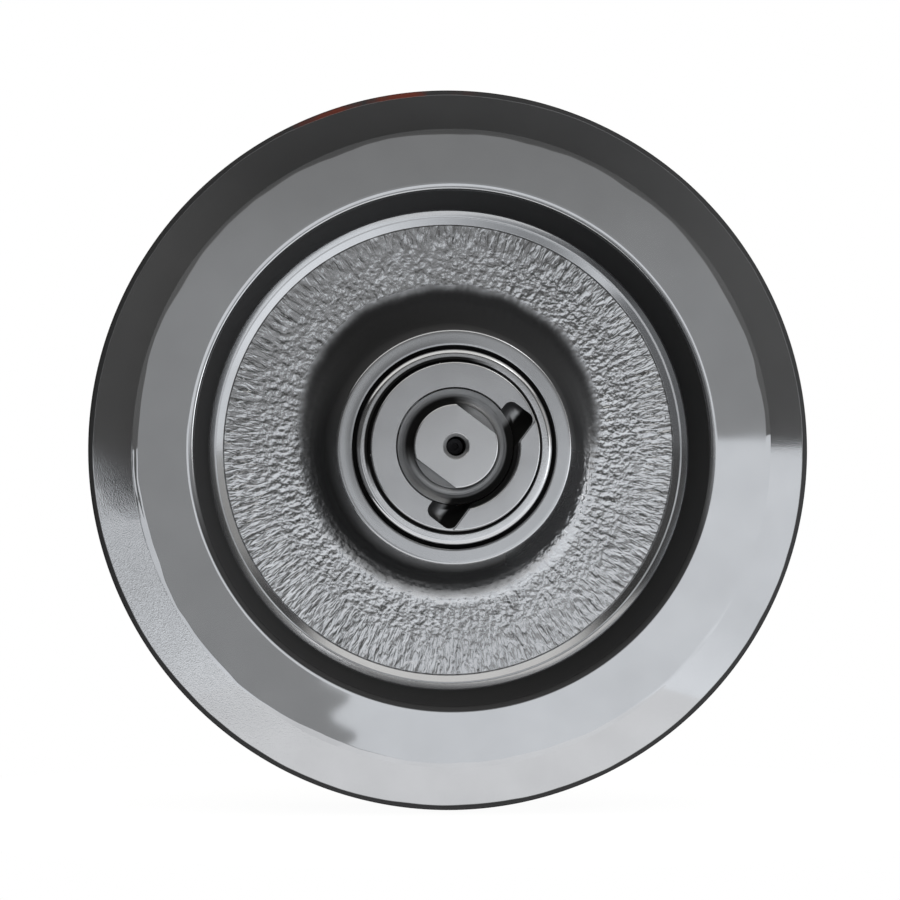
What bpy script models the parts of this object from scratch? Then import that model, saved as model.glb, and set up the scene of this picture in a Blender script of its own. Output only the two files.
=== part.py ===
"""Front idler of a small crawler excavator.

A flanged cast wheel turns on two flanged bronze bushes around a fixed shaft. At each end of the shaft a
collar, held by a lock pin, closes the hub with a floating face seal, and the flatted end of the shaft
stands out of it to sit in the track frame's yoke.

Units are metres and +Z is up. The origin is the middle of the wheel and the shaft lies along Y, with the
oil hole at the -Y end. Each end has its own frame: X and Y lie along and across the shaft's flats, and Z
points outwards, so a height is a distance from the wheel's middle plane.
"""

import math

import bmesh
import bpy
from mathutils import Matrix, Vector

MM = 0.001

# Rim and flange of the wheel
TREAD_DIAMETER = 348 * MM
RIM_WIDTH = 112 * MM
RIM_THICKNESS = 33 * MM
RIM_EDGE_CHAMFER = 2 * MM
RECESS_EDGE_CHAMFER = 3 * MM
FLANGE_HEIGHT = 26 * MM
FLANGE_ROOT_WIDTH = 50 * MM
FLANGE_TIP_WIDTH = 42 * MM
FLANGE_ROOT_FILLET = 5 * MM
FLANGE_EDGE_ROUNDING = 3 * MM

# Web and hub of the wheel
WEB_THICKNESS = 24 * MM
RECESS_DRAFT = math.radians(11)
RECESS_FILLET = 8 * MM
HUB_DRAFT = math.radians(8)
HUB_FILLET = 17 * MM
HUB_PROUD = 12 * MM
HUB_FACE_WIDTH = 8.3 * MM
HUB_EDGE_CHAMFER = 1.5 * MM
MOUTH_DEPTH = 12 * MM
LABYRINTH_GAP = 3 * MM
OIL_CHAMBER_DEPTH = 3 * MM

# Shaft
SHAFT_DIAMETER = 62.6 * MM
SHAFT_EDGE_CHAMFER = 1 * MM
SHOULDER_INSET = 1 * MM
STUB_DIAMETER = 45 * MM
STUB_LENGTH = 9 * MM
STUB_FILLET = 3 * MM
SHOULDER_DISH = 3.5 * MM
FLAT_TILT = math.radians(36.9)
FLAT_ACROSS = 35.8 * MM
FLAT_LENGTH = 7 * MM
OIL_HOLE_DIAMETER = 10.2 * MM
OIL_HOLE_CHAMFER = 1 * MM
OIL_HOLE_OVERRUN = 6 * MM
DRILL_TIP = 2.5 * MM
CROSS_HOLE_DIAMETER = 5 * MM

# Bushes
BUSH_WALL = 5.1 * MM
BUSH_GRIP = 28 * MM
BUSH_FLANGE_HEIGHT = 4 * MM
BUSH_FLANGE_THICKNESS = 3 * MM

# Floating face seal
SEAL_BORE_CLEARANCE = 2 * MM
SEAL_RING_WALL = 4.7 * MM
SEAL_FLANGE_THICKNESS = 3 * MM
SEAL_FLANGE_CLEARANCE = 0.6 * MM
SEAL_RING_TAIL = 0.3 * MM
SEAL_SEAT_CLEARANCE = 1 * MM
TORIC_SECTION = 5.7 * MM

# Collar
SLEEVE_WALL = 4.9 * MM
CUP_WALL = 2.7 * MM
CUP_FLOOR_THICKNESS = 4.3 * MM
CUP_RUNNING_GAP = 0.7 * MM
BEAD_WIDTH = 5.5 * MM
BEAD_OUTER_ROUNDING = 2.7 * MM
BEAD_INNER_ROUNDING = 2 * MM
BEAD_GROOVE_WIDTH = 1.2 * MM
BEAD_GROOVE_DEPTH = 2 * MM
BOSS_HEIGHT = 9 * MM
BOSS_EDGE_CHAMFER = 1 * MM
PAD_HEIGHT = 7 * MM
PAD_INNER_STEP = 2.6 * MM
PAD_OUTER_STEP = 0.4 * MM
PAD_START = 26.2 * MM
PAD_EDGE_CHAMFER = 0.8 * MM
PAD_ROOT = 3 * MM
CHANNEL_DIAMETER = 18 * MM
CHANNEL_LENGTH = 76.4 * MM
CHANNEL_END_ROUNDING = 4.5 * MM
CHANNEL_SETBACK = 0.5 * MM

# Small parts
LOCK_PIN_DIAMETER = 5 * MM
LOCK_PIN_INSET = 1.5 * MM
LOCK_PIN_DEPTH = 5.5 * MM
LOCK_PIN_CHAMFER = 0.5 * MM
SHAFT_O_RING_SECTION = 2.3 * MM
O_RING_GROOVE_WIDTH = 3 * MM
O_RING_DEPTH = 9.7 * MM
PLUG_DEPTH = 14 * MM
PLUG_LENGTH = 12 * MM
PLUG_CHAMFER = 0.5 * MM
PLUG_SOCKET_WALL = 2.6 * MM
PLUG_SOCKET_DEPTH = 4 * MM
PLUG_O_RING_SECTION = 1.6 * MM
PLUG_GROOVE_WIDTH = 2.2 * MM
PLUG_GROOVE_HEIGHT = 3.5 * MM

# Clearance between pieces that fit each other, and how finely round shapes are divided
FIT = 0.3 * MM
WHEEL_SEGMENTS = 60
SHAFT_SEGMENTS = 40
O_RING_SEGMENTS = 30
SEAL_SEGMENTS = 24
SMALL_SEGMENTS = 16
CHANNEL_SEGMENTS = 12
SECTION_SIDES = 6
SHARP_ANGLE = math.radians(35)
MERGE_DISTANCE = 0.00001
CUTTER_REACH = 8 * MM

# Radii, from the shaft outwards
shaft_radius = SHAFT_DIAMETER / 2
shaft_bore = shaft_radius + FIT
stub_radius = STUB_DIAMETER / 2
oil_hole_radius = OIL_HOLE_DIAMETER / 2
bush_radius = shaft_bore + BUSH_WALL
bush_bore = bush_radius + FIT
bush_flange_radius = bush_radius + BUSH_FLANGE_HEIGHT
bush_recess_radius = bush_flange_radius + FIT
oil_chamber_radius = bush_bore + OIL_CHAMBER_DEPTH
sleeve_radius = shaft_bore + SLEEVE_WALL
seal_bore = sleeve_radius + SEAL_BORE_CLEARANCE
seal_body_radius = seal_bore + SEAL_RING_WALL
toric_radius = seal_body_radius + FIT + TORIC_SECTION / 2
seal_seat_radius = toric_radius + TORIC_SECTION / 2 + FIT
seal_flange_radius = seal_seat_radius - SEAL_FLANGE_CLEARANCE
cup_radius = seal_seat_radius + CUP_WALL
bead_inner_radius = cup_radius - BEAD_WIDTH
boss_radius = bead_inner_radius - BEAD_GROOVE_WIDTH
mouth_radius = cup_radius + LABYRINTH_GAP
hub_face_radius = mouth_radius + HUB_FACE_WIDTH
tread_radius = TREAD_DIAMETER / 2
flange_radius = tread_radius + FLANGE_HEIGHT
recess_mouth_radius = tread_radius - RIM_THICKNESS

# Heights, as distances from the wheel's middle plane
web_height = WEB_THICKNESS / 2
rim_height = RIM_WIDTH / 2
hub_height = rim_height + HUB_PROUD
mouth_floor = hub_height - MOUTH_DEPTH
seal_ring_length = SEAL_FLANGE_THICKNESS + TORIC_SECTION + SEAL_RING_TAIL
seal_seat_depth = seal_ring_length + SEAL_SEAT_CLEARANCE
hub_seat_floor = mouth_floor - seal_seat_depth
bush_recess_floor = hub_seat_floor - BUSH_FLANGE_THICKNESS
bush_inner_end = bush_recess_floor - BUSH_GRIP
bush_flange_floor = bush_recess_floor + FIT
bush_flange_top = bush_flange_floor + BUSH_FLANGE_THICKNESS
oil_chamber_height = bush_inner_end - OIL_CHAMBER_DEPTH
cup_rim = mouth_floor + CUP_RUNNING_GAP
seal_plane = mouth_floor + CUP_RUNNING_GAP / 2
collar_seat_floor = cup_rim + seal_seat_depth
cup_top = collar_seat_floor + CUP_FLOOR_THICKNESS
bead_groove_floor = cup_top - BEAD_GROOVE_DEPTH
sleeve_end = bush_flange_top + FIT
boss_face = cup_top + BOSS_HEIGHT
pad_top = boss_face + PAD_HEIGHT
shoulder = boss_face - SHOULDER_INSET
shoulder_foot = shoulder - SHOULDER_DISH
shaft_end = shoulder + STUB_LENGTH
lock_pin_height = boss_face - LOCK_PIN_DEPTH
o_ring_height = collar_seat_floor - O_RING_DEPTH + O_RING_GROOVE_WIDTH
plug_top = shaft_end - PLUG_DEPTH
plug_bottom = plug_top - PLUG_LENGTH

# Places along the flats (X of an end's frame)
channel_offset = PAD_START - CHANNEL_SETBACK - CHANNEL_DIAMETER / 2
lock_pin_offset = -(shaft_radius + shaft_bore) / 2

# Radii at which the drafted walls would meet the web without their fillets
hub_root_radius = hub_face_radius + (hub_height - web_height) * math.tan(HUB_DRAFT)
recess_root_radius = recess_mouth_radius - (rim_height - web_height) * math.tan(RECESS_DRAFT)


def clear_scene():
    for leftover in list(bpy.data.objects):
        bpy.data.objects.remove(leftover, do_unlink=True)


def new_collection(name):
    collection = bpy.data.collections.new(name)
    bpy.context.scene.collection.children.link(collection)
    return collection


def make_material(name, colour, roughness, metallic):
    material = bpy.data.materials.new(name)
    material.use_nodes = True
    shader = material.node_tree.nodes["Principled BSDF"]
    shader.inputs["Base Color"].default_value = (*colour, 1)
    shader.inputs["Roughness"].default_value = roughness
    shader.inputs["Metallic"].default_value = metallic
    material.diffuse_color = (*colour, 1)
    return material


def make_frame(name, parent, outward):
    """An empty whose Z axis points out of one end of the shaft, with X along the shaft's flats."""
    along_flats = Vector((math.cos(FLAT_TILT), 0, -math.sin(FLAT_TILT)))
    axis = Vector((0, -outward, 0))
    empty = bpy.data.objects.new(name, None)
    empty.empty_display_size = shaft_radius
    empty.rotation_euler = Matrix((along_flats, axis.cross(along_flats), axis)).transposed().to_euler()
    empty.parent = parent
    parts.objects.link(empty)
    return empty


def corner(radius, height, rounding=0, steps=1):
    return radius, height, rounding, steps


def rounded(corners):
    """The points of an outline after its corners are rounded. One step makes a chamfer."""
    points = []
    for index, (radius, height, rounding, steps) in enumerate(corners):
        here = Vector((radius, height))
        if not rounding:
            points.append(here)
            continue
        back = Vector(corners[index - 1][:2]) - here
        onward = Vector(corners[(index + 1) % len(corners)][:2]) - here
        half_angle = back.angle(onward) / 2
        room = min(back.length, onward.length) / 2
        run = min(rounding / math.tan(half_angle), room)
        centre = (back.normalized() + onward.normalized()).normalized() * run / math.cos(half_angle)
        first = back.normalized() * run - centre
        last = onward.normalized() * run - centre
        sweep = math.pi - 2 * half_angle
        for step in range(steps + 1):
            angle = sweep * step / steps
            spoke = (first * math.sin(sweep - angle) + last * math.sin(angle)) / math.sin(sweep)
            points.append(here + centre + spoke)
    return points


def round_section(radius, height, section):
    """The outline of a ring of round section."""
    turns = [-2 * math.pi * side / SECTION_SIDES for side in range(SECTION_SIDES)]
    reach = section / 2
    return [corner(radius + reach * math.cos(turn), height + reach * math.sin(turn)) for turn in turns]


def turned(name, corners, segments, material, parent, collection=None):
    """A solid turned about its own Z axis. An outline that starts on the axis also ends there."""
    points = rounded(corners)
    closed = points[0].x > 0
    edges = [(index, index + 1) for index in range(len(points) - 1)]
    if closed:
        edges.append((len(points) - 1, 0))
    outline = bpy.data.meshes.new(name + "_outline")
    outline.from_pydata([(point.x, 0, point.y) for point in points], edges, [])
    piece = bpy.data.objects.new(name, outline)
    piece.parent = parent
    (collection or parts).objects.link(piece)
    screw = piece.modifiers.new("turning", "SCREW")
    screw.steps = segments
    screw.render_steps = segments
    screw.use_merge_vertices = True
    screw.merge_threshold = MERGE_DISTANCE
    bpy.context.view_layer.update()
    graph = bpy.context.evaluated_depsgraph_get()
    solid = bpy.data.meshes.new_from_object(piece.evaluated_get(graph))
    solid.name = name
    piece.modifiers.clear()
    piece.data = solid
    bpy.data.meshes.remove(outline)
    solid.shade_smooth()
    solid.set_sharp_from_angle(angle=SHARP_ANGLE)
    solid.materials.clear()
    solid.materials.append(material)
    return piece


def hide_cutter(cutter):
    cutter.hide_render = True
    cutter.display_type = "WIRE"
    return cutter


def make_cutter(name, parent, location, fill):
    """A cutter whose mesh is made by fill, a function that takes the empty bmesh."""
    mesh = bpy.data.meshes.new(name)
    shape = bmesh.new()
    fill(shape)
    shape.to_mesh(mesh)
    shape.free()
    cutter = bpy.data.objects.new(name, mesh)
    cutter.location = location
    cutter.parent = parent
    cutters.objects.link(cutter)
    return hide_cutter(cutter)


def round_cutter(name, parent, location, radius, length, turn=(0, 0, 0), segments=SMALL_SEGMENTS):
    """A cylinder along Z, turned by the angles given."""

    def fill(shape):
        bmesh.ops.create_cone(
            shape, cap_ends=True, segments=segments, radius1=radius, radius2=radius, depth=length
        )

    cutter = make_cutter(name, parent, location, fill)
    cutter.rotation_euler = turn
    return cutter


def box_cutter(name, parent, low, high):
    """A box between two opposite corners."""
    low, high = Vector(low), Vector(high)

    def fill(shape):
        bmesh.ops.create_cube(shape, size=1, matrix=Matrix.Diagonal((*(high - low), 1)))

    return make_cutter(name, parent, (low + high) / 2, fill)


def combine(piece, other, operation="DIFFERENCE"):
    boolean = piece.modifiers.new(other.name, "BOOLEAN")
    boolean.operation = operation
    boolean.solver = "EXACT"
    boolean.object = other


def make_wheel(frame):
    """The casting: hub, web, rim and centre flange, the same on both sides of the middle plane."""
    half = [
        corner(oil_chamber_radius, oil_chamber_height),
        corner(bush_bore, bush_inner_end),
        corner(bush_bore, bush_recess_floor),
        corner(bush_recess_radius, bush_recess_floor),
        corner(bush_recess_radius, hub_seat_floor),
        corner(seal_seat_radius, hub_seat_floor),
        corner(seal_seat_radius, mouth_floor),
        corner(mouth_radius, mouth_floor),
        corner(mouth_radius, hub_height),
        corner(hub_face_radius, hub_height, HUB_EDGE_CHAMFER),
        corner(hub_root_radius, web_height, HUB_FILLET, 3),
        corner(recess_root_radius, web_height, RECESS_FILLET, 2),
        corner(recess_mouth_radius, rim_height, RECESS_EDGE_CHAMFER),
        corner(tread_radius, rim_height, RIM_EDGE_CHAMFER),
        corner(tread_radius, FLANGE_ROOT_WIDTH / 2, FLANGE_ROOT_FILLET),
        corner(flange_radius, FLANGE_TIP_WIDTH / 2, FLANGE_EDGE_ROUNDING),
    ]
    other_half = [corner(radius, -height, *rest) for radius, height, *rest in reversed(half)]
    return turned("idler_wheel", half + other_half, WHEEL_SEGMENTS, painted_casting, frame)


def make_shaft(frame):
    """The fixed shaft. Its shoulders are dished round the stubs, and this frame's end has the oil hole."""
    corners = [
        corner(0, -OIL_HOLE_OVERRUN - DRILL_TIP),
        corner(oil_hole_radius, -OIL_HOLE_OVERRUN),
        corner(oil_hole_radius, shaft_end - OIL_HOLE_CHAMFER),
        corner(oil_hole_radius + OIL_HOLE_CHAMFER, shaft_end),
        corner(stub_radius, shaft_end, SHAFT_EDGE_CHAMFER),
        corner(stub_radius, shoulder_foot, STUB_FILLET, 2),
        corner(shaft_radius, shoulder, SHAFT_EDGE_CHAMFER),
        corner(shaft_radius, -shoulder, SHAFT_EDGE_CHAMFER),
        corner(stub_radius, -shoulder_foot, STUB_FILLET, 2),
        corner(stub_radius, -shaft_end, SHAFT_EDGE_CHAMFER),
        corner(0, -shaft_end),
    ]
    shaft = turned("axle_shaft", corners, SHAFT_SEGMENTS, painted_steel, frame)
    reach = shaft_radius + CUTTER_REACH
    cross_hole = round_cutter(
        "cross_hole_cutter",
        frame,
        (reach / 2, 0, 0),
        CROSS_HOLE_DIAMETER / 2,
        reach,
        turn=(0, math.pi / 2, 0),
    )
    combine(shaft, cross_hole)
    return shaft


def cut_flats(shaft, side, frame):
    low = shaft_end - FLAT_LENGTH
    high = shaft_end + CUTTER_REACH
    across = shaft_radius + CUTTER_REACH
    for name, inner, outer in (
        ("upper", FLAT_ACROSS / 2, across),
        ("lower", -across, -FLAT_ACROSS / 2),
    ):
        cutter = box_cutter(f"{side}_{name}_flat_cutter", frame, (-across, inner, low), (across, outer, high))
        combine(shaft, cutter)


def make_collar(side, frame):
    """The end collar: a sleeve on the shaft, a seal cup with a round bead, and a boss with a raised pad."""
    groove_radius = shaft_radius + SHAFT_O_RING_SECTION + 2 * FIT
    groove_low = o_ring_height - O_RING_GROOVE_WIDTH / 2
    groove_high = o_ring_height + O_RING_GROOVE_WIDTH / 2
    corners = [
        corner(boss_radius, boss_face, BOSS_EDGE_CHAMFER),
        corner(boss_radius, bead_groove_floor),
        corner(bead_inner_radius, bead_groove_floor),
        corner(bead_inner_radius, cup_top, BEAD_INNER_ROUNDING, 2),
        corner(cup_radius, cup_top, BEAD_OUTER_ROUNDING, 3),
        corner(cup_radius, cup_rim),
        corner(seal_seat_radius, cup_rim),
        corner(seal_seat_radius, collar_seat_floor),
        corner(sleeve_radius, collar_seat_floor),
        corner(sleeve_radius, sleeve_end),
        corner(shaft_bore, sleeve_end),
        corner(shaft_bore, groove_low),
        corner(groove_radius, groove_low),
        corner(groove_radius, groove_high),
        corner(shaft_bore, groove_high),
        corner(shaft_bore, boss_face),
    ]
    collar = turned(side + "_end_collar", corners, SHAFT_SEGMENTS, painted_steel, frame)
    combine(collar, make_pad(side, frame), "UNION")
    return collar


def make_pad(side, frame):
    """The raised pad: a ring cut off by a chord beside the channel, rooted in the boss."""
    inner = shaft_bore + PAD_INNER_STEP
    outer = boss_radius - PAD_OUTER_STEP
    corners = [
        corner(outer, pad_top, PAD_EDGE_CHAMFER),
        corner(outer, boss_face - PAD_ROOT),
        corner(inner, boss_face - PAD_ROOT),
        corner(inner, pad_top, PAD_EDGE_CHAMFER),
    ]
    pad = turned(side + "_pad", corners, SHAFT_SEGMENTS, painted_steel, frame, cutters)
    hide_cutter(pad)
    reach = boss_radius + CUTTER_REACH
    beside = box_cutter(
        side + "_pad_chord_cutter",
        frame,
        (-reach, -reach, boss_face - reach),
        (PAD_START, reach, pad_top + CUTTER_REACH),
    )
    combine(pad, beside)
    return pad


def cut_channel(side, frame, collar):
    """The half-round channel beside the pad. Its ends are closed, short of the boss's edge."""
    radius = CHANNEL_DIAMETER / 2
    half_length = CHANNEL_LENGTH / 2
    corners = [
        corner(0, half_length),
        corner(radius, half_length, CHANNEL_END_ROUNDING, 3),
        corner(radius, -half_length, CHANNEL_END_ROUNDING, 3),
        corner(0, -half_length),
    ]
    channel = turned(side + "_channel_cutter", corners, CHANNEL_SEGMENTS, painted_steel, frame, cutters)
    channel.location = (channel_offset, 0, boss_face)
    channel.rotation_euler = (math.pi / 2, 0, 0)
    combine(collar, hide_cutter(channel))


def drill_for_lock_pin(side, frame, shaft, collar):
    pin_hole = round_cutter(
        side + "_lock_pin_cutter",
        frame,
        (lock_pin_offset, 0, lock_pin_height),
        LOCK_PIN_DIAMETER / 2 + FIT,
        2 * (boss_radius + CUTTER_REACH),
        turn=(math.pi / 2, 0, 0),
    )
    combine(shaft, pin_hole)
    combine(collar, pin_hole)


def make_lock_pin(side, frame):
    """The pin lies across the end, half in the shaft and half in the collar."""
    radius = LOCK_PIN_DIAMETER / 2
    half_length = math.sqrt(boss_radius**2 - lock_pin_offset**2) - LOCK_PIN_INSET
    corners = [
        corner(0, half_length),
        corner(radius, half_length, LOCK_PIN_CHAMFER),
        corner(radius, -half_length, LOCK_PIN_CHAMFER),
        corner(0, -half_length),
    ]
    pin = turned(side + "_lock_pin", corners, SMALL_SEGMENTS, plain_steel, frame)
    pin.location = (lock_pin_offset, 0, lock_pin_height)
    pin.rotation_euler = (math.pi / 2, 0, 0)
    return pin


def make_bush(side, frame):
    corners = [
        corner(bush_flange_radius, bush_flange_top),
        corner(bush_flange_radius, bush_flange_floor),
        corner(bush_radius, bush_flange_floor),
        corner(bush_radius, bush_inner_end),
        corner(shaft_bore, bush_inner_end),
        corner(shaft_bore, bush_flange_top),
    ]
    return turned(side + "_bush", corners, SHAFT_SEGMENTS, bronze, frame)


def make_seal_half(side, half, outward, frame):
    """One metal ring and its rubber ring. Outward is 1 for the collar's half and -1 for the hub's."""
    face = seal_plane + outward * FIT / 2
    shelf = face + outward * SEAL_FLANGE_THICKNESS
    tail = face + outward * seal_ring_length
    corners = [
        corner(seal_body_radius, tail),
        corner(seal_body_radius, shelf, SEAL_FLANGE_CLEARANCE),
        corner(seal_flange_radius, shelf),
        corner(seal_flange_radius, face),
        corner(seal_bore, face),
        corner(seal_bore, tail),
    ]
    if outward < 0:
        corners.reverse()
    ring = turned(f"{side}_seal_ring_{half}", corners, SEAL_SEGMENTS, seal_iron, frame)
    seat = collar_seat_floor if outward > 0 else hub_seat_floor
    outline = round_section(toric_radius, (shelf + seat) / 2, TORIC_SECTION)
    toric = turned(f"{side}_toric_ring_{half}", outline, SEAL_SEGMENTS, rubber, frame)
    return ring, toric


def make_shaft_o_ring(side, frame):
    radius = shaft_bore + SHAFT_O_RING_SECTION / 2
    outline = round_section(radius, o_ring_height, SHAFT_O_RING_SECTION)
    return turned(side + "_shaft_o_ring", outline, O_RING_SEGMENTS, rubber, frame)


def make_oil_plug(frame):
    """The plug sits deep in the oil hole, with a hexagon socket and an O-ring in its groove."""
    radius = oil_hole_radius - FIT
    groove_radius = radius - PLUG_O_RING_SECTION - FIT
    groove = plug_bottom + PLUG_GROOVE_HEIGHT
    corners = [
        corner(0, plug_top),
        corner(radius, plug_top, PLUG_CHAMFER),
        corner(radius, groove + PLUG_GROOVE_WIDTH / 2),
        corner(groove_radius, groove + PLUG_GROOVE_WIDTH / 2),
        corner(groove_radius, groove - PLUG_GROOVE_WIDTH / 2),
        corner(radius, groove - PLUG_GROOVE_WIDTH / 2),
        corner(radius, plug_bottom, PLUG_CHAMFER),
        corner(0, plug_bottom),
    ]
    plug = turned("oil_plug", corners, SMALL_SEGMENTS, plain_steel, frame)
    socket = round_cutter(
        "oil_plug_socket_cutter",
        frame,
        (0, 0, plug_top),
        radius - PLUG_SOCKET_WALL,
        2 * PLUG_SOCKET_DEPTH,
        segments=6,
    )
    combine(plug, socket)
    outline = round_section(radius - PLUG_O_RING_SECTION / 2, groove, PLUG_O_RING_SECTION)
    turned("oil_plug_o_ring", outline, SMALL_SEGMENTS, rubber, frame)
    return plug


clear_scene()
parts = new_collection("excavator_front_idler")
cutters = new_collection("cutters")

painted_casting = make_material("painted_casting", (0.055, 0.058, 0.062), 0.28, 0.0)
painted_steel = make_material("painted_steel", (0.075, 0.078, 0.082), 0.3, 0.0)
plain_steel = make_material("plain_steel", (0.42, 0.42, 0.43), 0.35, 1.0)
seal_iron = make_material("seal_iron", (0.36, 0.36, 0.37), 0.25, 1.0)
bronze = make_material("bronze", (0.58, 0.37, 0.16), 0.35, 1.0)
rubber = make_material("rubber", (0.02, 0.02, 0.02), 0.6, 0.0)

# The axle stays still, and everything under the spin axis turns about Y
axle = bpy.data.objects.new("axle", None)
spin_axis = bpy.data.objects.new("spin_axis", None)
for empty in (axle, spin_axis):
    parts.objects.link(empty)

front_end = make_frame("axle_front", axle, 1)
rear_end = make_frame("axle_rear", axle, -1)
front_hub = make_frame("wheel_front", spin_axis, 1)
rear_hub = make_frame("wheel_rear", spin_axis, -1)

make_wheel(front_hub)
axle_shaft = make_shaft(front_end)
for side, end, hub in (("front", front_end, front_hub), ("rear", rear_end, rear_hub)):
    cut_flats(axle_shaft, side, end)
    end_collar = make_collar(side, end)
    cut_channel(side, end, end_collar)
    drill_for_lock_pin(side, end, axle_shaft, end_collar)
    make_lock_pin(side, end)
    make_bush(side, hub)
    make_seal_half(side, "turning", -1, hub)
    make_seal_half(side, "fixed", 1, end)
    make_shaft_o_ring(side, end)
make_oil_plug(front_end)
bpy.context.view_layer.update()
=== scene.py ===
# %% [markdown]
# # Front idler of a small crawler excavator
#
# The idler is a cast wheel that turns on a fixed shaft and keeps the crawler track tight. This file dresses
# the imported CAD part: it builds finer meshes over the solids that can be seen, gives every piece a finish
# made of shader nodes, and sets up the studio. The cells run from top to bottom.

import math

import bmesh
import bpy
import numpy as np
from mathutils import Matrix, Vector, noise


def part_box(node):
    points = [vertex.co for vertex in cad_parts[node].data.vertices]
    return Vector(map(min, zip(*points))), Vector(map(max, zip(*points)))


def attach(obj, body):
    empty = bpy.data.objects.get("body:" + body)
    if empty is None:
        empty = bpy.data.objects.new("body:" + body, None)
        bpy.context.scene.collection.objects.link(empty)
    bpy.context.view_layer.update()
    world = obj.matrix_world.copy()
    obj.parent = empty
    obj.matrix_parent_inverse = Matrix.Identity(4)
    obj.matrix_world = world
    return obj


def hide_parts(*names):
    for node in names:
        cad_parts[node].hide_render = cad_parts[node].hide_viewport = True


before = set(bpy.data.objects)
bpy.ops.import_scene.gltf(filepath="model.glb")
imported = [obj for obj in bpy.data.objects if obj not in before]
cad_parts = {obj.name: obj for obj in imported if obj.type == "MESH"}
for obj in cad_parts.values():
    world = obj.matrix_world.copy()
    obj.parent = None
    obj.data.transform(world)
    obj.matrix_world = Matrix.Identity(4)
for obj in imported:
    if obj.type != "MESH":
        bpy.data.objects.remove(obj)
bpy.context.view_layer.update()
scene = bpy.context.scene

# %% [markdown]
# ## Sizes
#
# Every surface of this machine part is turned about one axis, so a size is either a radius or a height. A
# height is the distance from the wheel's middle plane, and the seen front lies towards -Y. The sizes repeat
# those of the CAD source, because a finer mesh has to stand exactly where the solid stands. The last two
# lines say how blunt an edge may be and still stay sharp, and how many steps make a full turn.

# %% Sizes
MM = 0.001

rim_height, hub_height, web_height = 56 * MM, 68 * MM, 12 * MM
flange_radius, tread_radius = 200 * MM, 174 * MM
flange_tip, flange_root = 21 * MM, 25 * MM
recess_mouth_radius, web_radius = 141 * MM, 126 * MM
hub_face_radius, hub_root_radius = 63.5 * MM, 71.37 * MM
chamber_radius, chamber_half = 40 * MM, 12 * MM
bush_bore, bush_foot, bush_end, bush_flange_bore = 37 * MM, 15 * MM, 43 * MM, 41 * MM
mouth_radius, mouth_floor = 55.2 * MM, 56 * MM
seat_radius, seat_floor, collar_seat_floor = 49.5 * MM, 46 * MM, 66.7 * MM
cup_radius, cup_rim, cup_top = 53 * MM, 56.7 * MM, 71 * MM
sleeve_radius, sleeve_end = 36.5 * MM, 46.6 * MM
groove_radius, groove_start, groove_end = 34.2 * MM, 58.5 * MM, 61.5 * MM
bead_inner_radius, bead_groove_floor = 46.7 * MM, 69 * MM
boss_radius, boss_face = 45.5 * MM, 80 * MM
pad_inner, pad_outer, pad_start, pad_top = 34.2 * MM, 45.1 * MM, 26.2 * MM, 87 * MM
pad_root = boss_face - 3 * MM
shaft_radius, shaft_bore, shoulder, shoulder_foot = 31.3 * MM, 31.6 * MM, 79 * MM, 75.5 * MM
stub_radius, shaft_end, flat_across, flat_low = 22.5 * MM, 88 * MM, 35.8 * MM, 81 * MM
oil_hole_radius, oil_hole_end, drill_tip = 5.1 * MM, -6 * MM, -8.5 * MM
cross_hole_radius = 2.5 * MM
channel_radius, channel_offset, channel_half_length = 9 * MM, 16.7 * MM, 38.2 * MM
pin_offset, pin_height, pin_hole_radius = -31.45 * MM, 74.5 * MM, 2.8 * MM
flat_tilt = math.radians(36.9)
turned_edge, cut_edge = math.radians(38), math.radians(32)
wheel_segments, collar_segments, shaft_segments, channel_segments = 680, 224, 160, 48

low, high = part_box("idler_wheel")
print("wheel box in mm:", [round(size * 1000, 1) for size in high - low])

# %% [markdown]
# ## Outlines
#
# A lathe part is one outline swept round an axis. Blender's Screw modifier does that, but it gives no hold
# on the rows of the mesh. Here the outline becomes a list of points, its corners are rounded, and the long
# stretches are divided where the surface later gets a cast texture. Then one function sweeps the list.


# %% Outline helpers
def corner(radius, height, rounding=0.0, steps=4):
    return radius, height, rounding, steps


def rounded(corners):
    """The points of an outline after its corners are rounded. One step makes a chamfer."""
    points = []
    for index, (radius, height, rounding, steps) in enumerate(corners):
        here = Vector((radius, height))
        if not rounding:
            points.append(here)
            continue
        back = Vector(corners[index - 1][:2]) - here
        onward = Vector(corners[(index + 1) % len(corners)][:2]) - here
        half_angle = back.angle(onward) / 2
        run = min(rounding / math.tan(half_angle), min(back.length, onward.length) / 2)
        centre = (back.normalized() + onward.normalized()).normalized() * run / math.cos(half_angle)
        first = back.normalized() * run - centre
        last = onward.normalized() * run - centre
        sweep = math.pi - 2 * half_angle
        for step in range(steps + 1):
            angle = sweep * step / steps
            spoke = (first * math.sin(sweep - angle) + last * math.sin(angle)) / math.sin(sweep)
            points.append(here + centre + spoke)
    return points


def divided(points, longest):
    """Adds points so that no step is longer than longest(middle of the step)."""
    result = []
    for here, onward in zip(points, points[1:] + points[:1]):
        count = math.ceil((onward - here).length / longest((here + onward) / 2))
        result += [here.lerp(onward, step / count) for step in range(count)]
    return result


def mirrored(corners):
    """The same corners below the middle plane, so that a closed outline goes on round the other side."""
    return [corner(radius, -height, *rest) for radius, height, *rest in reversed(corners)]


# %% [markdown]
# ## Turning
#
# The sweep is a grid: one row of vertices for each point of the outline, one column for each step of the
# turn. An optional relief pushes each vertex into the metal, along the outline's own normal, which is how a
# rough casting gets real bumps and not only painted ones.


# %% Turning helper
def outline_normals(points):
    """For each point, the direction into the metal."""
    ahead = np.roll(points, -1, axis=0) - np.roll(points, 1, axis=0)
    ahead /= np.linalg.norm(ahead, axis=1, keepdims=True)
    return np.stack([ahead[:, 1], -ahead[:, 0]], axis=1)


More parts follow.
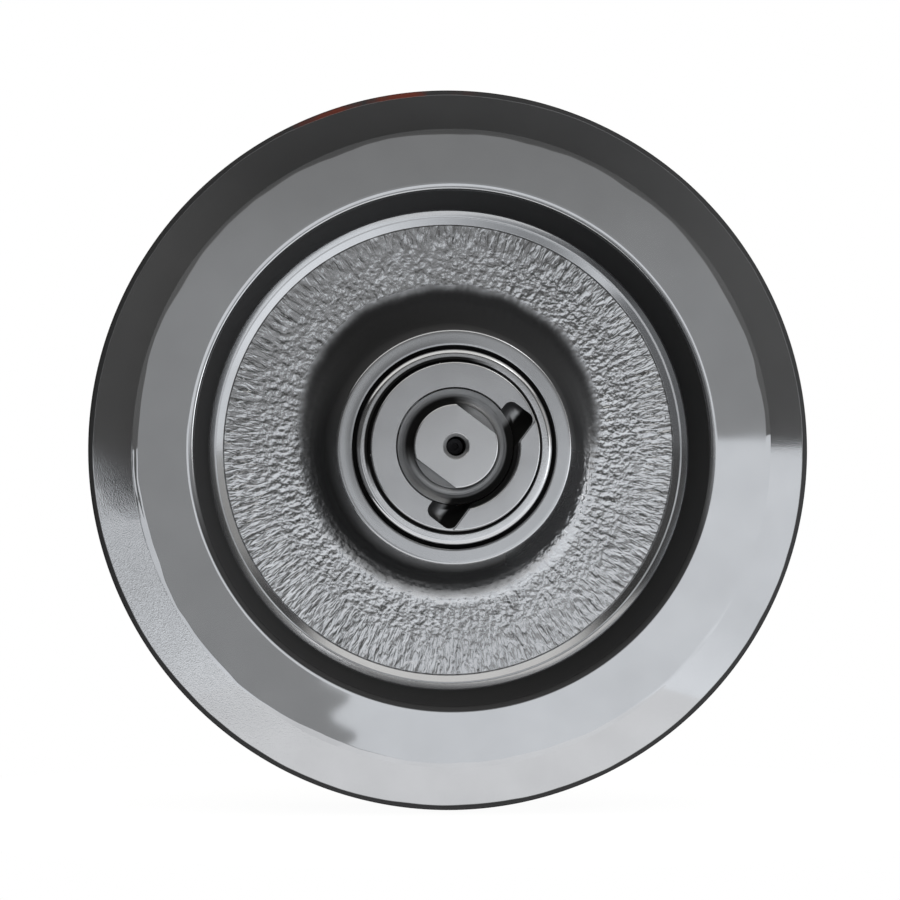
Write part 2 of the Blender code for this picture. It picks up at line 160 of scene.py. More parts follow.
def turned(name, outline, segments, relief=None):
    """A solid turned about Y. relief(radius, height, angle) says how far a point is pushed into the metal."""
    points = np.array([tuple(point) for point in outline])
    angles = np.arange(segments) * 2 * math.pi / segments
    grid = np.repeat(points[:, None, :], segments, axis=1)
    if relief:
        shifts = np.array([[relief(radius, height, angle) for angle in angles] for radius, height in points])
        grid = grid + shifts[:, :, None] * outline_normals(points)[:, None, :]
    radius, height = grid[:, :, 0], grid[:, :, 1]
    vertices = np.stack([radius * np.cos(angles), -height, radius * np.sin(angles)], axis=2).reshape(-1, 3)
    rows = len(points) if points[0, 0] > 0 else len(points) - 1
    faces = []
    for row in range(rows):
        this, following = row * segments, (row + 1) % len(points) * segments
        for column in range(segments):
            beside = (column + 1) % segments
            faces.append((this + column, following + column, following + beside, this + beside))
    mesh = bpy.data.meshes.new(name)
    mesh.from_pydata(vertices.tolist(), [], faces)
    shape = bmesh.new()
    shape.from_mesh(mesh)
    bmesh.ops.remove_doubles(shape, verts=shape.verts, dist=1e-7)
    bmesh.ops.recalc_face_normals(shape, faces=shape.faces)
    shape.to_mesh(mesh)
    shape.free()
    mesh.shade_smooth()
    mesh.set_sharp_from_angle(angle=turned_edge)
    piece = bpy.data.objects.new(name, mesh)
    scene.collection.objects.link(piece)
    print(f"{name}: {len(points)} rows, {sum(len(face.vertices) - 2 for face in mesh.polygons)} triangles")
    return piece


def even_normals(piece):
    """Flat faces stay flat up to their rounded edges, because large faces weigh more in the normals."""
    weighted = piece.modifiers.new("even_normals", "WEIGHTED_NORMAL")
    weighted.keep_sharp = True
    weighted.weight = 100


# %% [markdown]
# ## The wheel casting
#
# Hub, web, rim and flange are one casting. The web keeps the skin of the sand mould, drawn out into fine
# radial ridges, while the rim face and the hub face are machined flat. The ridges are too coarse to be only
# a bump map, so the rows on the web lie close together, closest on the front, and the relief moves them.

# %% Wheel outline
front_web_step, rear_web_step, plain_step = 1.9 * MM, 7 * MM, 24 * MM


def wheel_spacing(middle):
    on_web = hub_root_radius < middle.x < web_radius and abs(middle.y) < 30 * MM
    if on_web:
        return front_web_step if middle.y > 0 else rear_web_step
    return plain_step


wheel_half = [
    corner(chamber_radius, chamber_half),
    corner(bush_bore, bush_foot),
    corner(bush_bore, bush_end),
    corner(bush_flange_bore, bush_end),
    corner(bush_flange_bore, seat_floor),
    corner(seat_radius, seat_floor),
    corner(seat_radius, mouth_floor),
    corner(mouth_radius, mouth_floor),
    corner(mouth_radius, hub_height, 0.5 * MM, 2),
    corner(56.4 * MM, hub_height),
    corner(61.4 * MM, hub_height),
    corner(hub_face_radius, hub_height, 1.1 * MM, 3),
    corner(hub_root_radius, web_height, 17 * MM, 6),
    corner(125.8 * MM, web_height, 1 * MM, 2),
    corner(129.4 * MM, 13.4 * MM, 0.5 * MM, 1),
    corner(130.4 * MM, 13.4 * MM, 0.5 * MM, 1),
    corner(133.5 * MM, 15 * MM, 0.8 * MM, 2),
    corner(recess_mouth_radius, rim_height, 2.4 * MM, 3),
    corner(145.2 * MM, rim_height),
    corner(173.2 * MM, rim_height),
    corner(tread_radius, rim_height),
    corner(tread_radius, flange_root, 0.7 * MM, 2),
    corner(176 * MM, 24.69 * MM),
    corner(197 * MM, 21.46 * MM),
    corner(flange_radius, flange_tip, 1.8 * MM, 3),
]
wheel_outline = divided(rounded(wheel_half + mirrored(wheel_half)), wheel_spacing)
print("wheel rows:", len(wheel_outline))

# %% [markdown]
# ## The cast skin
#
# Noise of two sizes shapes the skin: slow waves all over the casting, and fine ridges on the web. The ridges
# come from a noise whose place changes quickly round the axis and slowly along the radius, so that each
# grain is drawn out. The outer face of the flange has waves of its own.

# %% Wheel relief
flange_relief, slow_relief, ridge_relief = 0.3 * MM, 0.25 * MM, 0.26 * MM


def ramp(value, start, end):
    share = min(max((value - start) / (end - start), 0), 1)
    return share * share * (3 - 2 * share)


def ridges(radius, angle):
    """Fine radial ridges at the rim side of the web, which break up into grains towards the hub."""
    stretch = 110 + 160 * (1 - ramp(radius, 90 * MM, 118 * MM))
    drift = 1.6 * noise.noise(Vector((5 * math.cos(angle), 5 * math.sin(angle), 40 * radius)))
    across = Vector((44 * math.cos(angle), 44 * math.sin(angle), stretch * radius + drift))
    return noise.noise(across) + 0.4 * noise.noise(across * 2.1)


def cast_relief(radius, height, angle):
    if abs(height) > 55 * MM or radius < 66 * MM:
        return 0
    slow = Vector((2.4 * math.cos(angle), 2.4 * math.sin(angle), 30 * (radius + height)))
    if radius > 173 * MM:
        inside_edges = 1 - ramp(abs(height), 14 * MM, 17 * MM)
        return flange_relief * ramp(noise.noise(slow * 3), -0.2, 0.8) * inside_edges
    rough = ramp(radius, 70 * MM, 82 * MM) * (1 - ramp(radius, 123 * MM, web_radius))
    rough *= 1 - ramp(abs(height), 14 * MM, 30 * MM)
    return slow_relief * noise.noise(slow) + ridge_relief * rough * ridges(radius, angle)


idler_wheel = turned("wheel_casting", wheel_outline, wheel_segments, cast_relief)
even_normals(idler_wheel)
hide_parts("idler_wheel")

# %% [markdown]
# ## Cutting
#
# The shaft's flats, the collar's channel and the holes aren't turned, they are milled and drilled, so they
# are Boolean cuts here too. Each cut is applied at once: the result is one clean mesh per piece, and the
# tools leave the scene. The tools stand in the tilted frame of the flats, whose X runs along them.


# %% Cutting helpers
reach = 60 * MM
drill_length = 120 * MM


def end_frame(outward):
    """X along the shaft's flats, Z out of that end. Outward is 1 at the front and -1 at the rear."""
    along = Vector((math.cos(flat_tilt), 0, -math.sin(flat_tilt)))
    axis = Vector((0, -outward, 0))
    return Matrix((along, axis.cross(along), axis)).transposed().to_4x4()


def tool(fill, place):
    mesh = bpy.data.meshes.new("tool")
    shape = bmesh.new()
    fill(shape)
    shape.to_mesh(mesh)
    shape.free()
    cutter = bpy.data.objects.new("tool", mesh)
    cutter.matrix_world = place
    scene.collection.objects.link(cutter)
    return cutter


def box_tool(place, low, high):
    low, high = Vector(low), Vector(high)

    def fill(shape):
        size = Matrix.Translation((low + high) / 2) @ Matrix.Diagonal((*(high - low), 1))
        bmesh.ops.create_cube(shape, size=1, matrix=size)

    return tool(fill, place)


def round_tool(place, radius, length, segments=48):
    def fill(shape):
        bmesh.ops.create_cone(
            shape, cap_ends=True, segments=segments, radius1=radius, radius2=radius, depth=length
        )

    return tool(fill, place)


def combine(piece, others, operation="DIFFERENCE"):
    for other in others:
        boolean = piece.modifiers.new("cut", "BOOLEAN")
        boolean.operation = operation
        boolean.solver = "EXACT"
        boolean.object = other
    bpy.context.view_layer.update()
    evaluated = piece.evaluated_get(bpy.context.evaluated_depsgraph_get())
    solid = bpy.data.meshes.new_from_object(evaluated)
    piece.modifiers.clear()
    solid.name = piece.data.name
    piece.data = solid
    solid.shade_smooth()
    solid.set_sharp_from_angle(angle=cut_edge)
    for other in others:
        bpy.data.objects.remove(other, do_unlink=True)


# %% [markdown]
# ## The shaft
#
# The shaft doesn't turn. Its ends are turned down to a stub, with a generous fillet where the stub meets the
# shoulder, and two flats are milled on it for the yoke. The oil hole is drilled from the front end.

# %% Shaft
shaft_outline = rounded(
    [
        corner(0, drill_tip),
        corner(oil_hole_radius, oil_hole_end),
        corner(oil_hole_radius, shaft_end, 2.1 * MM, 1),
        corner(stub_radius, shaft_end, 0.8 * MM, 3),
        corner(stub_radius, shoulder_foot, 3 * MM, 8),
        corner(shaft_radius, shoulder, 0.5 * MM, 2),
        corner(shaft_radius, -shoulder, 0.5 * MM, 2),
        corner(stub_radius, -shoulder_foot, 3 * MM, 8),
        corner(stub_radius, -shaft_end, 0.8 * MM, 3),
        corner(0, -shaft_end),
    ]
)
axle_shaft = turned("flatted_shaft", shaft_outline, shaft_segments)
shaft_tools = []
for outward in (1, -1):
    place = end_frame(outward)
    half = flat_across / 2
    shaft_tools.append(box_tool(place, (-reach, half, flat_low), (reach, reach, shaft_end + reach)))
    shaft_tools.append(box_tool(place, (-reach, -reach, flat_low), (reach, -half, shaft_end + reach)))
    across = Matrix.Translation((pin_offset, 0, pin_height)) @ Matrix.Rotation(math.pi / 2, 4, "X")
    shaft_tools.append(round_tool(place @ across, pin_hole_radius, drill_length))
sideways = Matrix.Translation((reach / 2, 0, 0)) @ Matrix.Rotation(math.pi / 2, 4, "Y")
shaft_tools.append(round_tool(end_frame(1) @ sideways, cross_hole_radius, reach))
combine(axle_shaft, shaft_tools)
even_normals(axle_shaft)
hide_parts("axle_shaft")

# %% [markdown]
# ## The end collars
#
# A collar closes the hub at each end. Its rounded bead covers the seal, and its flat face carries a raised
# pad, a ring segment cut off by a straight chord, with a half-round channel beside the chord. The pad is
# turned as a full ring and then cut, like on a real lathe and mill.

# %% Collar outlines
collar_corners = [
    corner(boss_radius, boss_face, 0.9 * MM, 3),
    corner(boss_radius, bead_groove_floor),
    corner(bead_inner_radius, bead_groove_floor),
    corner(bead_inner_radius, cup_top, 2 * MM, 6),
    corner(cup_radius, cup_top, 2.7 * MM, 8),
    corner(cup_radius, cup_rim),
    corner(seat_radius, cup_rim),
    corner(seat_radius, collar_seat_floor),
    corner(sleeve_radius, collar_seat_floor),
    corner(sleeve_radius, sleeve_end),
    corner(shaft_bore, sleeve_end),
    corner(shaft_bore, groove_start),
    corner(groove_radius, groove_start),
    corner(groove_radius, groove_end),
    corner(shaft_bore, groove_end),
    corner(shaft_bore, boss_face, 0.4 * MM, 1),
]
pad_corners = [
    corner(pad_outer, pad_top, 0.8 * MM, 3),
    corner(pad_outer, pad_root),
    corner(pad_inner, pad_root),
    corner(pad_inner, pad_top, 0.8 * MM, 3),
]
channel_corners = [
    corner(0, channel_half_length),
    corner(channel_radius, channel_half_length, 4.5 * MM, 6),
    corner(channel_radius, -channel_half_length, 4.5 * MM, 6),
    corner(0, -channel_half_length),
]
print("corners:", len(collar_corners), len(pad_corners), len(channel_corners))


# %% Collars
def make_collar(name, outward):
    place = end_frame(outward)
    side = Matrix.Rotation(math.pi / 2, 4, "X")
    collar = turned(name, rounded(collar_corners), collar_segments)
    pad = turned("pad", rounded(pad_corners), collar_segments)
    channel = turned("channel", rounded(channel_corners), channel_segments)
    if outward < 0:
        for piece in (collar, pad):
            piece.data.transform(Matrix.Rotation(math.pi, 4, "Z"))
    combine(pad, [box_tool(place, (-reach, -reach, 0), (pad_start, reach, reach * 2))])
    combine(collar, [pad], "UNION")
    channel.matrix_world = place @ Matrix.Translation((channel_offset, 0, boss_face))
    pin_place = place @ Matrix.Translation((pin_offset, 0, pin_height)) @ side
    combine(collar, [channel, round_tool(pin_place, pin_hole_radius, drill_length)])
    even_normals(collar)
    return collar


front_collar = make_collar("front_collar", 1)
rear_collar = make_collar("rear_collar", -1)
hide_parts("front_end_collar")
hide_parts("rear_end_collar")

# %% [markdown]
# ## Shader maths in Python
#
# A shader is a small calculation for each point of a surface. Written as nodes it is hard to read, so one
# class wraps an output socket and lets Python's own operators add the Math nodes. Every other node comes
# from one method, which sets the node's options first and then its sockets.


# %% Shader helpers
class Link:
    """An output socket. Arithmetic on it adds Math nodes."""

    def __init__(self, graph, socket):
        self.graph = graph
        self.socket = socket

    def math(self, operation, *values):
        return self.graph.add("Math", {"operation": operation}, dict(enumerate(values)))

    def other(self, output):
        return Link(self.graph, self.socket.node.outputs[output])

    def __add__(self, value):
        return self.math("ADD", self, value)

    def __sub__(self, value):
        return self.math("SUBTRACT", self, value)

    def __rsub__(self, value):
        return self.math("SUBTRACT", value, self)

    def __mul__(self, value):
        return self.math("MULTIPLY", self, value)

    def __truediv__(self, value):
        return self.math("DIVIDE", self, value)

    def __pow__(self, value):
        return self.math("POWER", self, value)

    def __abs__(self):
        return self.math("ABSOLUTE", self)

    def cosine(self):
        return self.math("COSINE", self)

    def most(self, value):
        """The larger of the two, which joins masks that overlap."""
        return self.math("MAXIMUM", self, value)

    __radd__ = __add__
    __rmul__ = __mul__

    def step(self, start, end):
        """0 below start, 1 above end, smooth between them. A start above the end turns it round."""
        limits = {"Value": self, "From Min": start, "From Max": end}
        return self.graph.add("MapRange", {"interpolation_type": "SMOOTHSTEP"}, limits)

    def band(self, start, end, soft):
        return self.step(start - soft, start + soft) * self.step(end + soft, end - soft)


class Graph:
    """The nodes of a material or a world, built in lines of Python."""

    def __init__(self, owner, coordinates):
        owner.use_nodes = True
        self.tree = owner.node_tree
        self.place = self.add("TexCoord", {}, {}, coordinates)
        self.x = self.add("SeparateXYZ", {}, {0: self.place})
        self.y = self.x.other("Y")
        self.z = self.x.other("Z")

    def add(self, kind, settings, values, output=0):
        node = self.tree.nodes.new("ShaderNode" + kind)
        for key, value in settings.items():
            setattr(node, key, value)
        self.feed(node, values)
        return Link(self, node.outputs[output])

    def feed(self, node, values):
        for key, value in values.items():
            if isinstance(value, Link):
                self.tree.links.new(value.socket, node.inputs[key])
            else:
                node.inputs[key].default_value = value

    def noise(self, scale, detail=2, place=None, distortion=0):
        values = {"Vector": place or self.place, "Scale": scale, "Detail": detail, "Distortion": distortion}
        return self.add("TexNoise", {}, values)

    def colours(self, first, second, share):
        """A mix of two colours, written as three numbers or given as a link."""
        first, second = (c if isinstance(c, Link) else (*c, 1) for c in (first, second))
        return self.add("Mix", {"data_type": "RGBA"}, {0: share, 6: first, 7: second}, 2)


class Finish(Graph):
    """A material on a Principled shader, with the radius and height of each point at hand."""

    def __init__(self, name):
        self.material = bpy.data.materials.new(name)
        super().__init__(self.material, "Object")
        self.shader = self.tree.nodes["Principled BSDF"]
        self.radius = (self.x * self.x + self.z * self.z) ** 0.5
        self.height = abs(self.y)

    def towards(self, right, up):
        """How far a point lies round the axis towards a direction that is seen from the front."""
        return (self.x * right + self.z * up) / self.radius

    def ground(self, inner, outer, soft, start, end):
        """1 between two radii, where the height goes from start to end. All sizes are in millimetres."""
        ring = self.radius.band(inner * MM, outer * MM, soft * MM)
        return ring * self.height.step(start * MM, end * MM)

    def bump(self, height, distance, under=None):
        values = {"Height": height, "Distance": distance}
        if under:
            values["Normal"] = under
        return self.add("Bump", {}, values)

    def round_place(self, per_turn, per_metre):
        """Coordinates that run round the axis, so that a noise on them is drawn out along the radius."""
        flat = self.add("CombineXYZ", {}, {"X": self.x, "Z": self.z})
        direction = self.add("VectorMath", {"operation": "NORMALIZE"}, {0: flat})
        around = self.add("VectorMath", {"operation": "SCALE"}, {0: direction, "Scale": per_turn})
        outward = self.add("CombineXYZ", {}, {"Y": self.radius * per_metre + self.y * per_metre})
        return self.add("VectorMath", {"operation": "ADD"}, {0: around, 1: outward})

    def cover(self, *pieces, **values):
        """Sets the shader's sockets and puts the material on the pieces."""
        self.feed(self.shader, {key.replace("_", " "): value for key, value in values.items()})
        for piece in pieces:
            piece.data.materials.clear()
            piece.data.materials.append(self.material)
        print(self.material.name, "on", len(pieces), "pieces,", len(self.tree.nodes), "nodes")


# %% [markdown]
# ## Paint on the casting
#
# The whole casting is sprayed with a dark, slightly metallic gloss paint. What differs is the ground under
# it: the machined rim face is nearly a mirror, the web is grainy, and the steep walls of the recess are
# matte.
# Shade is also painted into the colour: the recess walls, the seal gap, the lip of the recess mouth, the
# outer edge of the flange and the hub wall, most of all at the top, are painted dark. Masks made of radius
# and
# height pick out these grounds: each is 1 on its own ground and 0 elsewhere, and its limits are the places
# where one ground ends and the next begins.

# %% Casting masks
cast = Finish("casting_paint")
hub_face = cast.ground(55, 63.5, 0.5, 66.5, 67.6)
upper = cast.towards(0, 1).step(-0.3, 0.9)
ragged = cast.radius + 5 * MM * cast.noise(70, 3) - 9 * MM * upper
web = ragged.step(75 * MM, 81 * MM) * cast.radius.step(web_radius, 125 * MM)
web = web * cast.height.step(40 * MM, 28 * MM)
foot = cast.ground(125.8, 133.8, 0.3, 16, 15.2)
flange_side = cast.radius.step(173 * MM, 176 * MM)
recess_wall = cast.ground(133.6, 140.8, 0.3, 15.2, 16)
lower_lip = cast.ground(140.7, 143.7, 0.2, 53, 54) * cast.towards(0, 1).step(0.2, -0.4)
lip_line = cast.ground(142, 142.7, 0.15, 53, 54)
lower_right = cast.towards(0.87, -0.5).step(0.75, 1)
# Painted shade on the hub wall: wider at the top and weaker at the lower right, where the light falls.
hub_wall = ragged.step(88 * MM, 79 * MM) * cast.height.step(66.8 * MM, 66 * MM) * (1 - 0.7 * lower_right)
# Painted shade on the upper left of the hub face's inner edge.
inner_ring = hub_face * cast.radius.step(60.5 * MM, 56.5 * MM) * cast.towards(-2, 1).step(0, 2)
outer_edge = (cast.radius + 1.4 * MM * cast.noise(30, 2)).step(197.6 * MM, 198.2 * MM)
outer_edge = outer_edge * cast.height.step(15 * MM, 18 * MM)
tread = cast.radius.step(172 * MM, 173.8 * MM) * cast.height.step(55.7 * MM, 55.3 * MM)
track_side = tread - tread * flange_side * cast.radius.step(199.6 * MM, 199 * MM)
seal_gap = cast.radius.step(55.6 * MM, 55.3 * MM) * cast.height.step(67.3 * MM, 66.9 * MM)
# Painted shade: recess wall, seal gap, mouth lip, flange edge and the top of the hub wall turn dark.
dull_painted_shade = recess_wall + seal_gap + lower_lip.most(0.6 * lip_line) + outer_edge
dull_painted_shade = dull_painted_shade + 0.9 * hub_wall * upper
rust_patch = outer_edge * cast.y.step(0, -0.01) * cast.x.band(-0.1, 0, 0.02)
rust_patch = rust_patch * cast.z.step(0.1, 0.14) * cast.noise(60, 3).step(0.35, 0.6)
print("mask nodes:", len(cast.tree.nodes))

# %% [markdown]
# ## Colour and skin of the casting
#
# The colours are laid over each other, from the paint's own mottled grey to the painted shade on the hub
# wall and the matte grounds, and a small patch of rust on the edge. The skin is a chain of bumps: ridges and
# grain on the web, fine grit on the lower left of the flange, and slow waves where the paint has run.

# %% Casting paint
mottle = cast.noise(35, 4)
paint = cast.colours((0.19, 0.194, 0.202), (0.24, 0.245, 0.254), mottle)
# Painted shade: the hub wall and the inner edge of the hub face turn near black.
paint = cast.colours(paint, (0.05, 0.051, 0.053), hub_wall.most(0.6 * inner_ring))
# Painted shade on the matte grounds gathered above.
paint = cast.colours(paint, (0.032, 0.032, 0.033), dull_painted_shade)
paint = cast.colours(paint, (0.14, 0.025, 0.012), rust_patch * 0.7)

ridge = cast.noise(1, 1.5, cast.round_place(54, 140), distortion=0.5)
lean = cast.towards(math.cos(math.radians(120)), math.sin(math.radians(120)))
upper_left = cast.towards(-0.34, 0.94).step(0, 0.9)
depth = (0.55 + 0.9 * cast.noise(14, 1)) * (1 - 0.45 * lean * lean - 0.22 * upper_left)
grain = cast.noise(330, 1.5)
ridged = ragged.step(100 * MM, 114 * MM)
fine = cast.noise(1400, 2)
sag = cast.noise(14, 1)
skin = cast.bump(ridge * web * ridged * depth, 1.0 * MM)
skin = cast.bump(grain * web * (1.15 - ridged) * depth, 0.8 * MM, skin)
lower_left = cast.towards(1, 1).step(-1.1, -1.38)
skin = cast.bump(fine * flange_side * (0.04 + 0.96 * lower_left), 0.14 * MM, skin)
roll_off = (cast.radius + 5 * MM * cast.noise(22, 2)).step(173.5 * MM, 178 * MM)
skin = cast.bump(1 - roll_off * cast.height.step(55 * MM, 55.6 * MM), 0.5 * MM, skin)
skin = cast.bump(cast.noise(260, 3) * track_side, 0.3 * MM, skin)
skin = cast.bump(sag * (1 - flange_side), 0.1 * MM, skin)

roughness = 0.025 + 0.12 * (web + foot) + 0.03 * flange_side + 0.13 * hub_face + 0.3 * hub_wall
roughness = roughness + 0.7 * dull_painted_shade + 0.25 * track_side
cast.cover(
    idler_wheel,
    Base_Color=paint,
    Metallic=0.9 - 0.2 * hub_wall,
    Roughness=roughness,
    Coat_Weight=1 - dull_painted_shade - 0.7 * hub_face - 0.6 * hub_wall - 0.6 * track_side,
    Coat_Roughness=0.02,
    Normal=skin,
)

# %% [markdown]
# ## Paint on the turned pieces
#
# Shaft and collars have the same paint over turned steel. The lathe leaves fine circles, which a noise in
# the radius alone gives, and the end faces of the shaft are a little lighter.

# %% Turned paint
steel = Finish("turned_paint")
circles = steel.noise(1, 3, steel.add("CombineXYZ", {}, {"X": steel.radius * 2600, "Y": steel.y * 2600}))
along = steel.x * math.cos(flat_tilt) - steel.z * math.sin(flat_tilt)
uneven = along + 1.5 * MM * steel.noise(180, 2)
turned_upper_left = steel.towards(-1, 1) + 0.3 * steel.noise(90, 2)
dish = steel.ground(7, 31.2, 0.3, 82.2, 81.4)
in_boss = steel.ground(31.4, 45.4, 0.2, 79.9, 79.3)
channel = along.band(7.9 * MM, 26 * MM, 0.3 * MM) * in_boss
channel_wall = uneven.step(16.5 * MM, 19 * MM) * in_boss
under_pad = uneven.step(13 * MM, 17 * MM) * steel.ground(27.5, 34.3, 0.6, 86, 84)
stub_foot = dish * steel.radius.step(28.5 * MM, 26 * MM) * turned_upper_left.step(0.5, 1.2)
bead_gap = steel.ground(45.3, 46.9, 0.2, 79, 78)
bead_side = steel.ground(45.3, 48.9, 0.4, 71.5, 71.2)
in_hole = steel.radius.step(5.4 * MM, 5.2 * MM) * steel.height.step(87.2 * MM, 86.2 * MM)
chamfer = steel.radius.step(6.9 * MM, 6.6 * MM) * steel.height.step(87.95 * MM, 87.8 * MM)
# Painted shade and shadow in the channel, under the pad, round the stub, by the bead and in the hole.
matte_painted_shade = channel_wall
for spot in (under_pad, stub_foot, bead_gap, bead_side * turned_upper_left.step(0.5, 1.0), in_hole):
    matte_painted_shade = matte_painted_shade.most(spot)
end_faces = steel.height.step(79.4 * MM, 79.9 * MM)
# Painted shade: the dish round the stub, the channel and the chamfer of the oil hole turn darker and matte.
dull_painted_shade = dish.most(channel + chamfer)

tone = steel.colours((0.2, 0.203, 0.21), (0.26, 0.264, 0.273), steel.noise(60, 3))
tone = steel.colours(tone, (0.255, 0.258, 0.265), steel.height.step(87 * MM, 87.8 * MM))
# Painted shade on the dish, the channel and the hole's chamfer.
tone = steel.colours(tone, (0.12, 0.122, 0.126), dull_painted_shade)
# Painted shadow and shade turn near black.
tone = steel.colours(tone, (0.008, 0.008, 0.008), matte_painted_shade)
lathe = steel.bump(circles * dish, 0.25 * MM)
lathe = steel.bump(steel.noise(900, 2), 0.02 * MM, lathe)
steel.cover(
    axle_shaft,
    front_collar,
    rear_collar,
    Base_Color=tone,
    Metallic=0.9,
    Roughness=0.1 + 0.06 * steel.noise(200, 2) + 0.1 * end_faces + 0.25 * dull_painted_shade + 0.5 * matte_painted_shade,
    Coat_Weight=1 - matte_painted_shade.most(0.7 * end_faces.most(dull_painted_shade)),
    Coat_Roughness=0.05,
    Normal=lathe,
)

# %% [markdown]
# ## Finishes inside the hub
#
# The pieces inside are CAD solids whose shape is right. They only get their real finish: bronze with
# turning lines, lapped seal iron, bright pins and matte black rubber. The oil plug is near black, painted
# shade at the bottom of its hole.


# %% Inner finishes
def turned_metal(name, dark, bright, roughness, nodes):
    metal = Finish(name)
    lines = metal.noise(1, 2, metal.add("CombineXYZ", {}, {"X": metal.radius * 3000, "Y": metal.y * 3000}))
    shade = metal.colours(dark, bright, lines * 0.6 + metal.noise(90, 3) * 0.4)
    metal.cover(
        *nodes,
        Base_Color=shade,
        Metallic=1.0,
        Roughness=roughness + 0.15 * metal.noise(150, 2),
        Normal=metal.bump(lines, 0.03 * MM),
    )


def group(*words):
    return [node for name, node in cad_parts.items() if any(word in name for word in words)]


turned_metal("bush_bronze", (0.42, 0.24, 0.09), (0.6, 0.38, 0.17), 0.3, group("bush"))
turned_metal("seal_iron", (0.26, 0.26, 0.27), (0.4, 0.4, 0.41), 0.18, group("seal_ring"))
turned_metal("bright_steel", (0.36, 0.36, 0.37), (0.5, 0.5, 0.51), 0.28, group("lock_pin"))
# Painted shade: the oil plug is made near black, like the shade at the bottom of its hole.
oil_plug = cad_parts["oil_plug"]
turned_metal("plug_painted_shade", (0.012, 0.012, 0.013), (0.03, 0.03, 0.032), 0.45, [oil_plug])

rubber = Finish("black_rubber")
dust = rubber.noise(120, 4)
rubber.cover(
    *group("toric_ring", "o_ring"),
    Base_Color=rubber.colours((0.012, 0.012, 0.013), (0.045, 0.044, 0.042), dust),
    Roughness=0.5 + 0.25 * dust,
    Normal=rubber.bump(rubber.noise(800, 2), 0.05 * MM),
)

# %% [markdown]
# ## Riding on the bodies
#
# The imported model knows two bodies: the axle, which stands still, and the wheel, which turns on it. Each
# new piece is tied to one of them, and then follows the joint in every pose.

# %% Bodies
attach(idler_wheel, "wheel")
for piece in (axle_shaft, front_collar, rear_collar):
    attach(piece, "axle")
print("new pieces:", [piece.name for piece in (idler_wheel, axle_shaft, front_collar, rear_collar)])

# %% [markdown]
# ## Camera
#
# The photograph looks straight along the shaft, from a little left of and below it. The lens is long and far
# away, so the face of the wheel shows almost without perspective.

# %% Camera
camera = bpy.data.objects.new("camera", bpy.data.cameras.new("camera"))
scene.collection.objects.link(camera)
scene.camera = camera
camera.location = (-0.092, -1.8, -0.045)
target = Vector((0, -0.023, -0.0005))
camera.rotation_euler = (target - camera.location).to_track_quat("-Z", "Y").to_euler()
camera.data.lens = 128.4
camera.data.sensor_width = 36
print("camera distance in m:", round((target - camera.location).length, 3))

# %% [markdown]
# ## Lamps
#
# Gloss paint shows its surroundings more than its own colour, so the world does most of the lighting. Two
# soft lamps stand outside the mirrored part of it and light the sides.


# %% Lamps
def lamp(name, place, width, height, strength):
    """A soft rectangular lamp that faces the origin. Strength is how bright it is, with 1 for white."""
    data = bpy.data.lights.new(name, "AREA")
    data.shape = "RECTANGLE"
    data.size = width
    data.size_y = height
    data.energy = strength * math.pi * width * height
    panel = bpy.data.objects.new(name, data)
    panel.location = place
    panel.rotation_euler = (-Vector(place)).to_track_quat("-Z", "Y").to_euler()
    panel.visible_camera = False
    scene.collection.objects.link(panel)


lamp("key", (0.9, -1.2, 1.3), 0.5, 0.5, 5)
lamp("side", (1.4, -0.8, -0.1), 0.5, 0.6, 4)

# %% [markdown]
# ## World
#
# In the photograph the ground in front is bright, the surroundings are grey, and the glossy rim face mirrors
# the border between them. So the world here is a small picture of such a place, painted in directions: each
# patch of it is a pair of limits on X, Y or Z. The camera itself sees a plain white backdrop instead.

# %% World
studio = bpy.data.worlds.new("studio")
scene.world = studio
around = Graph(studio, "Generated")
facing = around.y.step(-0.85, -0.9)
left_dip = 0.09 * around.x.step(-0.372, -0.336) * around.x.step(-0.27, -0.31)
ground = (around.z + left_dip).step(0.029, 0.027)
jagged = 0.006 * around.noise(160, 3, around.add("CombineXYZ", {}, {"Z": around.z}))
swing = 571 * around.z + 29.7
patch_edge = around.x + 0.25 * around.z + jagged - 0.004 * swing.cosine()
shaded_patch = patch_edge.step(0.0062, 0.0055) * around.x.step(-0.18, -0.16)
shaded_patch = shaded_patch * around.z.step(-0.22, -0.2) * facing
near_wall = around.x.band(-0.15, 0.26, 0.03) * around.z.step(0.23, 0.19) * facing
near_wall = near_wall * (0.68 - 0.2 * around.z.step(0.07, 0.12))
left_shade = around.x.step(-0.37, -0.45)
right_shade = around.x.step(0.5, 0.62)
near_shade = around.x.step(0.45, -0.35) * around.z.step(-0.42, -0.52)
right_wall = around.x.step(0.5, 0.62) * around.z.step(0.5, 0.4)
open_sky = around.z.step(0.46, 0.57)
behind = around.y.step(-0.2, 0.3)
lit_ground = ground * (1 - shaded_patch)
ground_light = (2.1 + 0.6 * around.z.step(-0.15, -0.3)) * (1 - 0.9 * left_shade - 0.35 * right_shade)
ground_light = ground_light * (1 - 0.9 * near_shade) * (1 - 0.6 * behind)
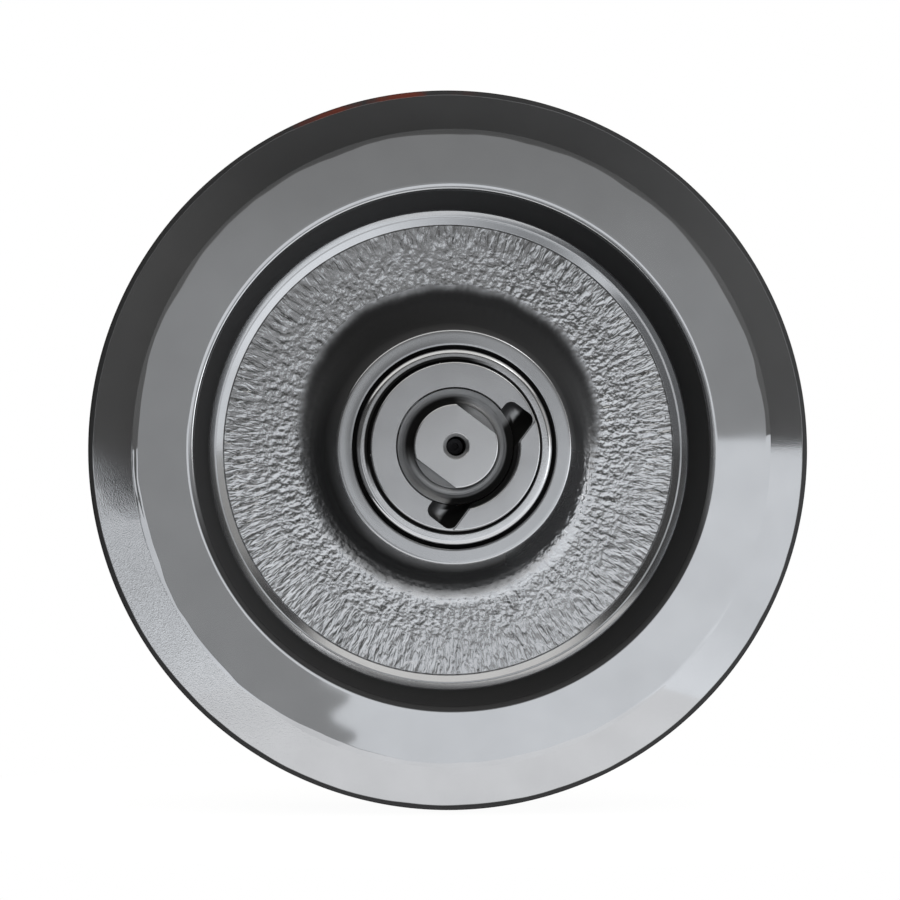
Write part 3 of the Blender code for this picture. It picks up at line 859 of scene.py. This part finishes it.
dark = 0.15 - 0.08 * around.z.step(0.25, 0.4)
strength = dark + near_wall * (1 - lit_ground) + ground_light * lit_ground
strength = strength + 2.2 * open_sky * (1 - 0.6 * behind) + 0.9 * right_wall
tint = around.colours((1.0, 0.98, 0.94), (0.96, 0.98, 1.0), lit_ground + near_wall)
surround = around.add("Background", {}, {"Color": tint, "Strength": strength})
backdrop = around.add("Background", {}, {"Color": (1, 1, 1, 1)})
camera_ray = around.add("LightPath", {}, {}, "Is Camera Ray")
sky = around.add("MixShader", {}, {0: camera_ray, 1: surround, 2: backdrop})
around.tree.links.new(sky.socket, around.tree.nodes["World Output"].inputs["Surface"])
print("world nodes:", len(around.tree.nodes))

# %% [markdown]
# ## Floor
#
# A round pale floor lies just under the wheel. For the camera it is as white as the backdrop, in the paint's
# reflections it is brighter than white, and for all other light it is plain pale paint.

# %% Floor
floor_radius, floor_gap = 0.34, 0.0005
floor_mesh = bpy.data.meshes.new("floor")
shape = bmesh.new()
bmesh.ops.create_circle(shape, cap_ends=True, segments=96, radius=floor_radius)
shape.to_mesh(floor_mesh)
shape.free()
floor = bpy.data.objects.new("floor", floor_mesh)
floor.location = (0, 0.02, low.z - floor_gap)
scene.collection.objects.link(floor)
pale = Finish("pale_floor")
seen = pale.add("LightPath", {}, {}, "Is Camera Ray")
mirrored_ray = seen.other("Is Glossy Ray")
white = pale.add("Emission", {}, {"Color": (1, 1, 1, 1), "Strength": 1.02 * seen + 2.5 * mirrored_ray})
share = 0.93 * seen + 0.9 * mirrored_ray
blend = pale.add("MixShader", {}, {0: share, 1: Link(pale, pale.shader.outputs[0]), 2: white})
pale.tree.links.new(blend.socket, pale.tree.nodes["Material Output"].inputs["Surface"])
pale.cover(floor, Base_Color=(0.9, 0.9, 0.9, 1), Roughness=0.6)

# %% [markdown]
# ## Finish
#
# The view transform stays Standard, so a colour comes out as it is written.

# %% Close
scene.view_settings.view_transform = "Standard"
